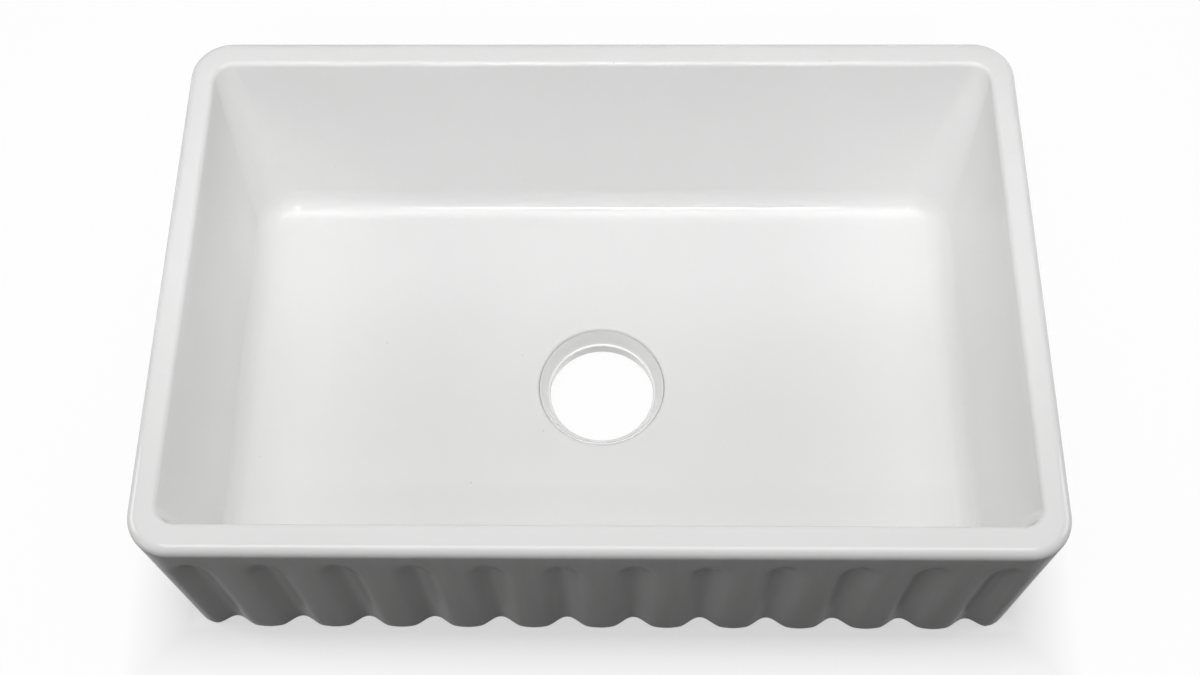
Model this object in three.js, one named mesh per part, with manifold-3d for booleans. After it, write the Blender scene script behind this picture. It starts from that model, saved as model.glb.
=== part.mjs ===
// Apron-front kitchen sink in glazed fireclay, with the collar set of its outlet.
// Millimetres, +Z up. The origin is the middle of the base, and the apron faces -Y.

import * as THREE from 'three';
import { mergeVertices } from 'three/addons/utils/BufferGeometryUtils.js';
import Module from 'manifold-3d';

const wasm = await Module();
wasm.setup();

// ---------- driving dimensions: the casting ----------

const WIDTH = 762;
const DEPTH = 500;
const HEIGHT = 229;
const OUTER_CORNER_RADIUS = 37;
const RIM_EDGE_RADIUS = 9;
const BASE_EDGE_RADIUS = 3;
const APRON_DRAFT = 4.5;

const SIDE_RIM = 23.5;
const END_RIM = 26.5;
const MOUTH_EDGE_RADIUS = 4;
const MOUTH_CORNER_RADIUS = 17;

const FLOOR_LEVEL = 41;
const FLOOR_FALL = 3;
const SIDE_WALL_LEAN = 12.5;
const BACK_WALL_LEAN = 38.5;
const FRONT_WALL_LEAN = 9.5;
const FLOOR_CORNER_RADIUS = 40;
const FLOOR_FILLET = 22;

const UNDERSIDE_LEVEL = 13;
const FOOT_WIDTH = 46;
const FOOT_CORNER_RADIUS = 24;
const UNDERSIDE_DRAFT = 4;

// ---------- driving dimensions: the flutes of the apron ----------

const FLUTE_COUNT = 12;
const FLUTE_PITCH = 61.3;
const FLUTE_DEPTH = 10.2;
const FLUTE_HALF_WIDTH = 20;
const FLUTE_TOP = 208;
const FLUTE_FADE = 50;
const RIB_CROWN = 3.4;

// ---------- driving dimensions: the outlet ----------

const OUTLET_Y = -16.5;
const RECESS_RADIUS = 60.5;
const RECESS_LIP_RADIUS = 3;
const LANDING_RADIUS = 85;
const LEDGE_LEVEL = 18.5;
const OUTLET_HOLE_RADIUS = 54;

const BORE_RADIUS = 50;
const BORE_END_RADIUS = 51.8;
const BORE_EDGE_RADIUS = 2;
const SLEEVE_RADIUS = 53.2;
const SLEEVE_END = 5;
const FLANGE_RADIUS = 60.2;
const FLANGE_EDGE_LEVEL = 35;
const FLANGE_EDGE_RADIUS = 0.8;
const FLANGE_MOUTH_LEVEL = 21.5;
const FLANGE_UNDERSIDE = 20.6;

const SEAT_GAP = 0.3;
const SEAL_THICKNESS = 1.5;
const SEAL_OUTER_RADIUS = 58.6;
const GASKET_THICKNESS = 1.5;
const WASHER_THICKNESS = 1;
const CLAMP_RADIUS = 63;
const NUT_RADIUS = 62;
const NUT_LUG_RADIUS = 67;
const NUT_LUG_COUNT = 6;
const NUT_LUG_ANGLE = 0.28;
const NUT_BOTTOM = 5.6;
const NUT_BEVEL = 0.6;

// ---------- fineness ----------

const OUTER_CORNER_STEPS = 12;
const CORNER_STEPS = 8;
const EDGE_STEPS = 4;
const FILLET_STEPS = 5;
const SIDE_STEPS = 8;
const NUT_ARC_STEPS = 5;
const DISH_STEPS = 5;
const FLUTE_STEPS = 12;
const FADE_STEPS = 8;
const ROUND_SEGMENTS = 48;
const OVERCUT = 6;

const QUARTER = Math.PI / 2;

// ---------- lofts ----------

// Points 0, 1/n, ... 1 of a run.
function fractions(steps) {
  return Array.from({ length: steps + 1 }, (_, i) => i / steps);
}

// The x places where the apron is sampled: evenly, so that the middle of each flute and of each rib
// is one of them.
function apronStations() {
  const half = (FLUTE_COUNT * FLUTE_STEPS) / 2;
  const step = FLUTE_PITCH / FLUTE_STEPS;
  return Array.from({ length: 2 * half + 1 }, (_, i) => (i - half) * step);
}

// A rounded rectangle, counterclockwise from its front left corner. Its four straight runs are
// sampled at the given fractions, so rings of different sizes still have matching points.
function roundedRectangle(box, runs, cornerSteps = CORNER_STEPS) {
  const { halfWidth, front, back, radius } = box;
  const corners = [
    { x: halfWidth - radius, y: front + radius, from: -QUARTER },
    { x: halfWidth - radius, y: back - radius, from: 0 },
    { x: -halfWidth + radius, y: back - radius, from: QUARTER },
    { x: -halfWidth + radius, y: front + radius, from: 2 * QUARTER },
  ];
  const points = [];
  corners.forEach((corner, side) => {
    const start = corners[(side + 3) % 4];
    const normal = new THREE.Vector2(Math.cos(corner.from), Math.sin(corner.from));
    for (const t of runs[side]) {
      const x = THREE.MathUtils.lerp(start.x, corner.x, t) + normal.x * radius;
      const y = THREE.MathUtils.lerp(start.y, corner.y, t) + normal.y * radius;
      points.push(new THREE.Vector2(x, y));
    }
    for (const t of fractions(cornerSteps)) {
      const angle = corner.from + t * QUARTER;
      const x = corner.x + radius * Math.cos(angle);
      const y = corner.y + radius * Math.sin(angle);
      points.push(new THREE.Vector2(x, y));
    }
  });
  return points;
}

// A closed skin through rings of matching points, listed from the lowest to the highest. Each end
// is closed by a fan about a middle point.
function loft(rings, bottomMiddle, topMiddle) {
  const count = rings[0].length;
  const positions = rings.flat().flatMap((p) => [p.x, p.y, p.z]);
  const bottom = rings.length * count;
  const top = bottom + 1;
  positions.push(bottomMiddle.x, bottomMiddle.y, bottomMiddle.z);
  positions.push(topMiddle.x, topMiddle.y, topMiddle.z);
  const index = [];
  for (let i = 0; i < count; i += 1) {
    const next = (i + 1) % count;
    for (let r = 0; r < rings.length - 1; r += 1) {
      const low = r * count;
      const high = low + count;
      index.push(low + i, low + next, high + next);
      index.push(low + i, high + next, high + i);
    }
    const last = (rings.length - 1) * count;
    index.push(bottom, next, i);
    index.push(top, last + i, last + next);
  }
  const geometry = new THREE.BufferGeometry();
  geometry.setAttribute('position', new THREE.Float32BufferAttribute(positions, 3));
  geometry.setIndex(index);
  return geometry;
}

// ---------- joins and cuts ----------

function toSolid(geometry) {
  const bare = geometry.clone();
  bare.deleteAttribute('normal');
  bare.deleteAttribute('uv');
  const merged = mergeVertices(bare, 1e-4);
  const vertProperties = new Float32Array(merged.attributes.position.array);
  const triVerts = new Uint32Array(merged.index.array);
  return new wasm.Manifold(new wasm.Mesh({ numProp: 3, vertProperties, triVerts }));
}

function toGeometry(solid) {
  const mesh = solid.getMesh();
  const geometry = new THREE.BufferGeometry();
  geometry.setAttribute('position', new THREE.BufferAttribute(mesh.vertProperties, 3));
  geometry.setIndex(new THREE.BufferAttribute(mesh.triVerts, 1));
  return geometry;
}

// A solid of revolution about the vertical through the outlet, from a closed [radius, level] profile.
function revolve(profile) {
  const points = profile.map(([radius, level]) => new THREE.Vector2(radius, level));
  points.push(points[0].clone());
  const geometry = new THREE.LatheGeometry(points, ROUND_SEGMENTS);
  geometry.rotateX(QUARTER);
  return geometry;
}

// Points of a round edge in a [radius, level] profile, about a centre, from one angle to another.
function roundEdge(radius, level, size, from, to) {
  return fractions(EDGE_STEPS).map((t) => {
    const angle = THREE.MathUtils.lerp(from, to, t);
    return [radius + size * Math.cos(angle), level + size * Math.sin(angle)];
  });
}

// ---------- the casting ----------

// A smooth hump: 1 at 0, then down to 0 at 1 and beyond.
function hump(t) {
  return 0.5 + 0.5 * Math.cos(Math.PI * Math.min(1, t));
}

// How far the apron is cut back at a place on it. Each flute is a hump in section, and the ribs
// between are crowned by a wider, shallower hump. Towards the top both fade out, the flute in a half
// ellipse. The end flutes reach a little way round the corners of the block.
function apronRelief(x, z) {
  const last = (FLUTE_COUNT - 1) / 2;
  const nearest = THREE.MathUtils.clamp(Math.round(x / FLUTE_PITCH + last), 0, FLUTE_COUNT - 1) - last;
  const across = Math.abs(x - nearest * FLUTE_PITCH);
  const above = Math.max(0, z - (FLUTE_TOP - FLUTE_FADE)) / FLUTE_FADE;
  const flute = hump(Math.hypot(across / FLUTE_HALF_WIDTH, above));
  const crown = hump((2 * across) / FLUTE_PITCH) * hump(above);
  return (FLUTE_DEPTH - RIB_CROWN) * flute + RIB_CROWN * crown;
}

// The outer block: upright sides and back, an apron that leans in a little towards its foot, and
// rounded edges at the rim and at the base.
function outerBlock() {
  const levels = [];
  for (const t of fractions(EDGE_STEPS)) {
    const inset = BASE_EDGE_RADIUS * (1 - Math.sin(t * QUARTER));
    levels.push({ z: BASE_EDGE_RADIUS * (1 - Math.cos(t * QUARTER)), inset });
  }
  for (const t of fractions(FADE_STEPS)) {
    levels.push({ z: FLUTE_TOP - (1 - t) * FLUTE_FADE, inset: 0 });
  }
  for (const t of fractions(EDGE_STEPS)) {
    const inset = RIM_EDGE_RADIUS * (1 - Math.cos(t * QUARTER));
    levels.push({ z: HEIGHT - RIM_EDGE_RADIUS * (1 - Math.sin(t * QUARTER)), inset });
  }
  const span = WIDTH / 2 - OUTER_CORNER_RADIUS;
  const onFlat = apronStations().filter((x) => Math.abs(x) < span);
  const apronRun = onFlat.map((x) => (x + span) / (2 * span));
  const plainRun = [];
  const runs = [apronRun, plainRun, plainRun, plainRun];
  const rings = levels.map(({ z, inset }) => {
    const lean = APRON_DRAFT * Math.max(0, 1 - z / (HEIGHT - RIM_EDGE_RADIUS));
    const outline = roundedRectangle({
      halfWidth: WIDTH / 2 - inset,
      front: -DEPTH / 2 + inset + lean,
      back: DEPTH / 2 - inset,
      radius: OUTER_CORNER_RADIUS - inset,
    }, runs, OUTER_CORNER_STEPS);
    return outline.map((p) => {
      const relief = p.y < 0 ? apronRelief(p.x, z) : 0;
      return new THREE.Vector3(p.x, p.y + relief, z);
    });
  });
  return loft(rings, new THREE.Vector3(0, 0, 0), new THREE.Vector3(0, 0, HEIGHT));
}

// The hollow of the bowl, as a solid to cut away: a level landing round the outlet, a floor that
// falls to it, a fillet, four leaning walls whose corners widen towards the floor, and a rounded
// edge at the mouth.
function bowlHollow() {
  const outlineAt = (z, inset) => {
    const down = (HEIGHT - z) / (HEIGHT - FLOOR_LEVEL);
    return roundedRectangle({
      halfWidth: WIDTH / 2 - SIDE_RIM - SIDE_WALL_LEAN * down - inset,
      front: -DEPTH / 2 + END_RIM + FRONT_WALL_LEAN * down + inset,
      back: DEPTH / 2 - END_RIM - BACK_WALL_LEAN * down - inset,
      radius: THREE.MathUtils.lerp(MOUTH_CORNER_RADIUS, FLOOR_CORNER_RADIUS, down) - inset,
    }, Array(4).fill(fractions(SIDE_STEPS).slice(1, -1))).map((p) => new THREE.Vector3(p.x, p.y, z));
  };
  const rings = fractions(FILLET_STEPS).map((t) => {
    const z = FLOOR_LEVEL + FLOOR_FILLET * (1 - Math.cos(t * QUARTER));
    return outlineAt(z, FLOOR_FILLET * (1 - Math.sin(t * QUARTER)));
  });
  for (const t of fractions(EDGE_STEPS)) {
    const z = HEIGHT - MOUTH_EDGE_RADIUS * (1 - Math.sin(t * QUARTER));
    rings.push(outlineAt(z, -MOUTH_EDGE_RADIUS * (1 - Math.cos(t * QUARTER))));
  }
  const rim = rings[rings.length - 1];
  rings.push(rim.map((p) => new THREE.Vector3(p.x, p.y, HEIGHT + OVERCUT)));
  const drain = new THREE.Vector3(0, OUTLET_Y, FLOOR_LEVEL - FLOOR_FALL);
  const landing = rings[0].map((p) => {
    const away = new THREE.Vector3(p.x - drain.x, p.y - drain.y, 0);
    return away.setLength(LANDING_RADIUS).add(drain);
  });
  return loft([landing, ...rings], drain, new THREE.Vector3(0, 0, HEIGHT + OVERCUT));
}

// The outlet, as a solid to cut away: a round lip, the recess down to its ledge, and the hole.
function outletHollow() {
  const lipLevel = FLOOR_LEVEL - FLOOR_FALL;
  const lipCentre = RECESS_RADIUS + RECESS_LIP_RADIUS;
  const lipBottom = lipLevel - RECESS_LIP_RADIUS;
  const profile = [
    [0, -OVERCUT],
    [OUTLET_HOLE_RADIUS, -OVERCUT],
    [OUTLET_HOLE_RADIUS, LEDGE_LEVEL],
    [RECESS_RADIUS, LEDGE_LEVEL],
    ...roundEdge(lipCentre, lipBottom, RECESS_LIP_RADIUS, 2 * QUARTER, QUARTER),
    [lipCentre, lipLevel + OVERCUT],
    [0, lipLevel + OVERCUT],
  ];
  return revolve(profile).translate(0, OUTLET_Y, 0);
}

// The shallow hollow of the underside, which leaves a foot all round.
function undersideHollow() {
  const outlineAt = (z, inset) => roundedRectangle({
    halfWidth: WIDTH / 2 - FOOT_WIDTH - inset,
    front: -DEPTH / 2 + FOOT_WIDTH + inset,
    back: DEPTH / 2 - FOOT_WIDTH - inset,
    radius: FOOT_CORNER_RADIUS,
  }, Array(4).fill([])).map((p) => new THREE.Vector3(p.x, p.y, z));
  const rings = [outlineAt(-OVERCUT, 0), outlineAt(0, 0), outlineAt(UNDERSIDE_LEVEL, UNDERSIDE_DRAFT)];
  return loft(rings, new THREE.Vector3(0, 0, -OVERCUT), new THREE.Vector3(0, 0, UNDERSIDE_LEVEL));
}

function sinkBody() {
  const block = toSolid(outerBlock());
  const bowl = block.subtract(toSolid(bowlHollow()));
  const footed = bowl.subtract(toSolid(undersideHollow()));
  return toGeometry(footed.subtract(toSolid(outletHollow())));
}

// ---------- the outlet set ----------

// The flange is dished: its top falls from the outer edge to the mouth of the sleeve, steeply at
// first. The bore has a round mouth, and widens a little towards its end.
function outletCollar() {
  const outer = FLANGE_RADIUS - FLANGE_EDGE_RADIUS;
  const mouth = BORE_RADIUS + BORE_EDGE_RADIUS;
  const fall = FLANGE_EDGE_LEVEL - FLANGE_MOUTH_LEVEL;
  const dish = fractions(DISH_STEPS).map((t) => {
    const radius = THREE.MathUtils.lerp(outer, mouth, t);
    return [radius, FLANGE_EDGE_LEVEL - (fall * (t + Math.sin(t * QUARTER))) / 2];
  });
  const mouthBottom = FLANGE_MOUTH_LEVEL - BORE_EDGE_RADIUS;
  const mouthEdge = roundEdge(mouth, mouthBottom, BORE_EDGE_RADIUS, QUARTER, 2 * QUARTER);
  return revolve([
    [BORE_END_RADIUS, SLEEVE_END],
    [SLEEVE_RADIUS, SLEEVE_END],
    [SLEEVE_RADIUS, FLANGE_UNDERSIDE],
    [FLANGE_RADIUS, FLANGE_UNDERSIDE],
    [FLANGE_RADIUS, FLANGE_EDGE_LEVEL - FLANGE_EDGE_RADIUS],
    ...dish,
    ...mouthEdge.slice(1),
  ]);
}

// A flat ring between two radii and two levels.
function flatRing(inner, outer, low, high) {
  return revolve([[inner, low], [outer, low], [outer, high], [inner, high]]);
}

// The nut is a ring with lugs round its edge, extruded with a small bevel.
function backNut(top) {
  const pitch = (2 * Math.PI) / NUT_LUG_COUNT;
  const at = (radius, angle) => new THREE.Vector2(radius * Math.cos(angle), radius * Math.sin(angle));
  const points = [];
  for (let lug = 0; lug < NUT_LUG_COUNT; lug += 1) {
    const middle = lug * pitch;
    points.push(at(NUT_LUG_RADIUS, middle - NUT_LUG_ANGLE / 2));
    points.push(at(NUT_LUG_RADIUS, middle + NUT_LUG_ANGLE / 2));
    for (const t of fractions(NUT_ARC_STEPS)) {
      points.push(at(NUT_RADIUS, middle + NUT_LUG_ANGLE + t * (pitch - 2 * NUT_LUG_ANGLE)));
    }
  }
  const outline = new THREE.Shape(points);
  const hole = new THREE.Path();
  hole.absarc(0, 0, SLEEVE_RADIUS + SEAT_GAP + NUT_BEVEL, 0, 2 * Math.PI, true);
  outline.holes.push(hole);
  const geometry = new THREE.ExtrudeGeometry(outline, {
    depth: top - NUT_BOTTOM - 2 * NUT_BEVEL,
    bevelEnabled: true,
    bevelThickness: NUT_BEVEL,
    bevelSize: NUT_BEVEL,
    bevelSegments: 1,
    curveSegments: ROUND_SEGMENTS / 2,
  });
  return geometry.translate(0, 0, NUT_BOTTOM + NUT_BEVEL);
}

// ---------- materials ----------

const glaze = new THREE.MeshStandardMaterial({ color: 0xe4e4e4, roughness: 0.12, metalness: 0 });
const whiteFinish = new THREE.MeshStandardMaterial({ color: 0xe2e2e2, roughness: 0.2, metalness: 0 });
const sealRubber = new THREE.MeshStandardMaterial({ color: 0xd8d8d4, roughness: 0.6, metalness: 0 });
const blackRubber = new THREE.MeshStandardMaterial({ color: 0x1c1c1c, roughness: 0.7, metalness: 0 });
const fibre = new THREE.MeshStandardMaterial({ color: 0x8a4a32, roughness: 0.85, metalness: 0 });
const nutPlastic = new THREE.MeshStandardMaterial({ color: 0xb9bbbd, roughness: 0.45, metalness: 0 });

// ---------- assembly ----------

const sink = new THREE.Group();
const outlet = new THREE.Group();
outlet.position.set(0, OUTLET_Y, 0);
sink.add(outlet);

function place(group, name, geometry, material) {
  const mesh = new THREE.Mesh(geometry, material);
  mesh.name = name;
  group.add(mesh);
}

const sealBottom = LEDGE_LEVEL + SEAT_GAP;
const gasketTop = UNDERSIDE_LEVEL - SEAT_GAP;
const gasketBottom = gasketTop - GASKET_THICKNESS;
const washerTop = gasketBottom - SEAT_GAP;
const washerBottom = washerTop - WASHER_THICKNESS;
const nutTop = washerBottom - SEAT_GAP;
const clampInner = SLEEVE_RADIUS + SEAT_GAP;

place(sink, 'sink_body', sinkBody(), glaze);
place(outlet, 'outlet_collar', outletCollar(), whiteFinish);
place(
  outlet, 'collar_seal',
  flatRing(clampInner, SEAL_OUTER_RADIUS, sealBottom, sealBottom + SEAL_THICKNESS), sealRubber,
);
place(outlet, 'lower_gasket', flatRing(clampInner, CLAMP_RADIUS, gasketBottom, gasketTop), blackRubber);
place(outlet, 'friction_washer', flatRing(clampInner, CLAMP_RADIUS, washerBottom, washerTop), fibre);
place(outlet, 'back_nut', backNut(nutTop), nutPlastic);

export default sink;
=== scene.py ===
# %% [markdown]
# # A fluted apron-front sink in white glazed fireclay
#
# The solids of the sink come in as a fixed frame, in metres. This lesson gives them the looks of the
# real thing: a casting whose every edge is soft under a thick glaze, an outlet set that is turned and
# threaded, and studio light from above that leaves the fluted apron in shade.

# %% Load the frame
import math

import bpy
import numpy as np
from mathutils import Matrix, Vector


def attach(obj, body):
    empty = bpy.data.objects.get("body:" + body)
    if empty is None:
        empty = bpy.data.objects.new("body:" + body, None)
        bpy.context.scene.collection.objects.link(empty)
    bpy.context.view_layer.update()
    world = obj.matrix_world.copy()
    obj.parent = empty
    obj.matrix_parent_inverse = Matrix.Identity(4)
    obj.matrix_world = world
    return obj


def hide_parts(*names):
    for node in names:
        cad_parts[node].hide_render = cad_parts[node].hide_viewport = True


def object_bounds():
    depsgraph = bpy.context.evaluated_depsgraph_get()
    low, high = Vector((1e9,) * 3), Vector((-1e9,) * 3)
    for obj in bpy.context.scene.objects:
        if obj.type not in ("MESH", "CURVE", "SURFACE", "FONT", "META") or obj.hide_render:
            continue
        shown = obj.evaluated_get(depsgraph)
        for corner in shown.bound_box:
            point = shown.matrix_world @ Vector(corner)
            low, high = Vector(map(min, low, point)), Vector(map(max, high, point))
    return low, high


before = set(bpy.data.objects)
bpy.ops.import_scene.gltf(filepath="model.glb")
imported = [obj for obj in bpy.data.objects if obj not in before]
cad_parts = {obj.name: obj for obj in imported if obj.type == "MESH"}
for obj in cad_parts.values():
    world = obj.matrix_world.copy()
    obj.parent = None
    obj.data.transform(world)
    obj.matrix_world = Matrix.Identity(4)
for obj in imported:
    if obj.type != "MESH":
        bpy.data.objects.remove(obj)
cad_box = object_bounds()
LOW, HIGH = (np.array(corner) for corner in cad_box)
print("solids in the frame:", sorted(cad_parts))
print("CAD box in metres:", np.round(LOW, 4), np.round(HIGH, 4))

# %% [markdown]
# ## Camera
#
# The photograph looks down into the bowl from in front, steeply, so that the rim, the floor and a
# narrow band of the apron show. A camera could be turned by eye until the picture looks right. Here
# its place, angles and focal length are numbers worked out from the corners of the rim and of the
# foot, because a measured camera shows every error of size in the model. Blender's camera looks
# along its own -Z, so its matrix is built from three directions: right, up, and the opposite of where
# it looks.

# %% Camera
IMAGE_WIDTH = 1200
FOCAL_PIXELS = 1557.7
SENSOR_MM = 36.0
CAMERA_PLACE = (0.0178, -0.6328, 1.4141)
PITCH, YAW, ROLL = (math.radians(angle) for angle in (64.10, -1.694, -1.401))


def camera_axes(pitch, yaw, roll):
    """Right, up and forward of a camera that looks down by pitch, is turned from +Y by yaw, and is
    then rolled about its own axis: right' = right cos(roll) + up sin(roll)."""
    forward = np.array([
        math.sin(yaw) * math.cos(pitch), math.cos(yaw) * math.cos(pitch), -math.sin(pitch)])
    right = np.array([math.cos(yaw), -math.sin(yaw), 0.0])
    up = np.cross(right, forward)
    rolled_right = right * math.cos(roll) + up * math.sin(roll)
    rolled_up = up * math.cos(roll) - right * math.sin(roll)
    return rolled_right, rolled_up, forward


right, up, forward = camera_axes(PITCH, YAW, ROLL)
camera_data = bpy.data.cameras.new("camera")
camera_data.sensor_width = SENSOR_MM
camera_data.lens = FOCAL_PIXELS / IMAGE_WIDTH * SENSOR_MM
camera = bpy.data.objects.new("camera", camera_data)
bpy.context.scene.collection.objects.link(camera)
turn = Matrix([[right[i], up[i], -forward[i]] for i in range(3)]).to_4x4()
camera.matrix_world = Matrix.Translation(CAMERA_PLACE) @ turn
bpy.context.scene.camera = camera
print("lens in mm:", round(camera_data.lens, 2))

# %% [markdown]
# ## From numpy grids to meshes
#
# Cast and turned pieces have no flat seams or hard corners. They could be boxes and cylinders with
# bevels and cuts, but cuts leave uneven faces, and gloss shows each of them. So every surface here is
# a grid of points, worked out as whole arrays: rows run along a profile and columns run round the
# piece. Both ends of both directions join up, so each piece is one closed skin, like a ring, and
# needs no caps.

# %% Grid helpers
QUARTER = math.pi / 2


def arc(start, end, steps):
    """Angles from start to end, both included, for a round edge."""
    return np.linspace(start, end, steps)


def closed_ring_mesh(name, points, sharp_degrees=40.0):
    """A mesh from points[row, column, xyz]. Face (r, c) joins (r, c), (r, c+1), (r+1, c+1) and
    (r+1, c), with both indices taken round, so that the skin closes on itself both ways."""
    rows, columns = points.shape[:2]
    index = np.arange(rows * columns).reshape(rows, columns)
    right_of = np.roll(index, -1, axis=1)
    above = np.roll(index, -1, axis=0)
    above_right = np.roll(right_of, -1, axis=0)
    faces = np.stack([index, right_of, above_right, above], axis=-1).reshape(-1, 4)
    mesh = bpy.data.meshes.new(name)
    mesh.vertices.add(rows * columns)
    mesh.vertices.foreach_set("co", points.reshape(-1).astype(np.float32))
    mesh.loops.add(faces.size)
    mesh.loops.foreach_set("vertex_index", faces.reshape(-1).astype(np.int32))
    mesh.polygons.add(len(faces))
    mesh.polygons.foreach_set("loop_start", np.arange(0, faces.size, 4, dtype=np.int32))
    mesh.polygons.foreach_set("use_smooth", np.ones(len(faces), dtype=bool))
    mesh.update(calc_edges=True)
    mesh.validate()
    mesh.set_sharp_from_angle(angle=math.radians(sharp_degrees))
    piece = bpy.data.objects.new(name, mesh)
    bpy.context.scene.collection.objects.link(piece)
    print(name, "faces:", len(mesh.polygons), "size:", np.round(np.ptp(points, axis=(0, 1)), 4))
    return piece


# %% [markdown]
# ## The outline of the casting
#
# Seen from above, every level of the sink is a rounded rectangle, of another size and with other
# corners at each level. The rectangles could be drawn one by one and lofted, but then their points
# don't line up. Here a point is told by which side it is on, how far along the straight run it lies,
# and which way the surface faces there. These three numbers stay the same at every level, so the
# levels join point by point. The front run has a whole number of columns to each flute, so that all
# flutes come out alike.

# %% Outline
FLUTE_COUNT, FLUTE_PITCH = 12, 0.0613
OUTER_CORNER = 0.037
SPAN = HIGH[0] - OUTER_CORNER
COLUMNS_PER_FLUTE, SIDE_POINTS, BACK_POINTS, CORNER_POINTS = 24, 22, 46, 25

column_step = FLUTE_PITCH / COLUMNS_PER_FLUTE
columns_each_way = math.floor(SPAN / column_step)
front_places = column_step * np.arange(-columns_each_way, columns_each_way + 1)
front_run = (front_places + SPAN) / (2 * SPAN)
side_run, back_run = (np.linspace(0, 1, points)[1:-1] for points in (SIDE_POINTS, BACK_POINTS))


def outline_columns():
    """side, run and turn of every column: run goes 0 to 1 along a side, then turn swings through a
    quarter to face the next side."""
    side, run, facing = [], [], []
    for number, steps in enumerate((front_run, side_run, back_run, side_run)):
        normal = (number - 1) * QUARTER
        swing = arc(normal, normal + QUARTER, CORNER_POINTS)
        side.append(np.full(len(steps) + CORNER_POINTS, number))
        run.append(np.concatenate([steps, np.ones(CORNER_POINTS)]))
        facing.append(np.concatenate([np.full(len(steps), normal), swing]))
    return np.concatenate(side), np.concatenate(run), np.concatenate(facing)


SIDE, RUN, FACING = outline_columns()
print("columns round the casting:", len(SIDE))


# %% Levels of the outline
def rounded_levels(z, half_width, front, back, radius):
    """Rounded rectangles for arrays of levels: a point is the corner centre before it, moved by run
    towards the corner centre after it, plus radius times the direction that it faces."""
    z, half_width, front, back, radius = np.broadcast_arrays(z, half_width, front, back, radius)
    centre = half_width - radius
    centre_x = np.stack([centre, centre, -centre, -centre], 1)
    centre_y = np.stack([front + radius, back - radius, back - radius, front + radius], 1)
    before = (SIDE + 3) % 4
    x = centre_x[:, before] * (1 - RUN) + centre_x[:, SIDE] * RUN + radius[:, None] * np.cos(FACING)
    y = centre_y[:, before] * (1 - RUN) + centre_y[:, SIDE] * RUN + radius[:, None] * np.sin(FACING)
    return np.stack([x, y, np.broadcast_to(z[:, None], x.shape)], axis=-1)


base = rounded_levels([0.0], HIGH[0], LOW[1], HIGH[1], OUTER_CORNER)
print("size of the outline at the base:", np.round(np.ptp(base, axis=(0, 1)), 4))

# %% [markdown]
# ## The flutes
#
# Twelve hollows with crowned ribs between them run down the apron and through its foot. They could be
# cut with round bars, but bars leave sharp ribs and a hard end, and glaze has neither. So the relief
# is one formula: in section each hollow is one hump of a cosine, on top of a wider and shallower hump
# that makes the ribs round. Towards the top both run out over a few centimetres under a plain band,
# the hollow in a half ellipse.

# %% Flutes
FLUTE_DEPTH, FLUTE_HALF_WIDTH = 0.0102, 0.020
FLUTE_TOP, FLUTE_FADE = 0.208, 0.050
RIB_CROWN = 0.0034


def hump(t):
    """1 at 0, and down to 0 at 1 and beyond: (1 + cos(pi t)) / 2."""
    return 0.5 + 0.5 * np.cos(np.pi * np.minimum(1, t))


def apron_relief(x, z):
    """How far the apron is cut back: (depth - crown) hump(distance from the flute's middle over its
    half width, together with the rise into the fade) + crown hump(2 distance / pitch) hump(rise)."""
    last = (FLUTE_COUNT - 1) / 2
    nearest = np.clip(np.round(x / FLUTE_PITCH + last), 0, FLUTE_COUNT - 1) - last
    across = np.abs(x - nearest * FLUTE_PITCH)
    above = np.maximum(0, z - (FLUTE_TOP - FLUTE_FADE)) / FLUTE_FADE
    flute = hump(np.hypot(across / FLUTE_HALF_WIDTH, above))
    crown = hump(2 * across / FLUTE_PITCH) * hump(above)
    return (FLUTE_DEPTH - RIB_CROWN) * flute + RIB_CROWN * crown


flute_and_rib = FLUTE_PITCH * np.array([0.5, 0])
print("relief in the middle of a flute and of a rib:", np.round(apron_relief(flute_and_rib, 0), 4))

# %% [markdown]
# ## The outside of the casting
#
# The sides and back stand upright. The apron leans in by a few millimetres towards its foot, as a
# face must that leaves a mould, and the rim rolls over in a wide round edge, where the glaze pools. A
# Bevel modifier could round the rim, but it would round the ends of the flutes too. Rows that are
# placed one by one are close together only where the surface bends: at the foot, at the top of the
# flutes and on the roll.

# %% Outside
TOP = HIGH[2]
RIM_EDGE, BASE_EDGE = 0.009, 0.003
APRON_DRAFT = 0.0045
FOOT_ROWS, FACE_ROWS, FADE_ROWS, ROLL_ROWS = 7, 8, 25, 13


def outside_rows():
    """Levels from the foot up to the flat of the rim: a quarter round, the straight face, the levels
    where the flutes run out, and the quarter round of the rim."""
    foot, roll = arc(0, QUARTER, FOOT_ROWS), arc(0, QUARTER, ROLL_ROWS)
    face = np.linspace(BASE_EDGE, FLUTE_TOP - FLUTE_FADE, FACE_ROWS)[1:]
    fade = np.linspace(FLUTE_TOP - FLUTE_FADE, FLUTE_TOP, FADE_ROWS)[1:]
    z = np.concatenate([BASE_EDGE * (1 - np.cos(foot)), face, fade, TOP - RIM_EDGE * (1 - np.sin(roll))])
    straight = np.zeros(len(face) + len(fade))
    inset = np.concatenate([BASE_EDGE * (1 - np.sin(foot)), straight, RIM_EDGE * (1 - np.cos(roll))])
    lean = APRON_DRAFT * np.maximum(0, 1 - z / (TOP - RIM_EDGE))
    rows = rounded_levels(
        z, HIGH[0] - inset, LOW[1] + inset + lean, HIGH[1] - inset, OUTER_CORNER - inset)
    relief = np.where(rows[..., 1] < 0, apron_relief(rows[..., 0], rows[..., 2]), 0)
    rows[..., 1] += relief
    return rows


outside = outside_rows()
print("rows on the outside:", len(outside))

# %% [markdown]
# ## The bowl
#
# The four walls lean outwards as they rise, the back one the most. They meet the floor in a wide
# fillet, and each other in corners that are tight at the rim and wide at the floor. One lean for all
# four walls would be simpler, but the photograph shows them unlike, so each wall has its own. The
# corner's radius grows on the way down together with the lean.

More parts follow.
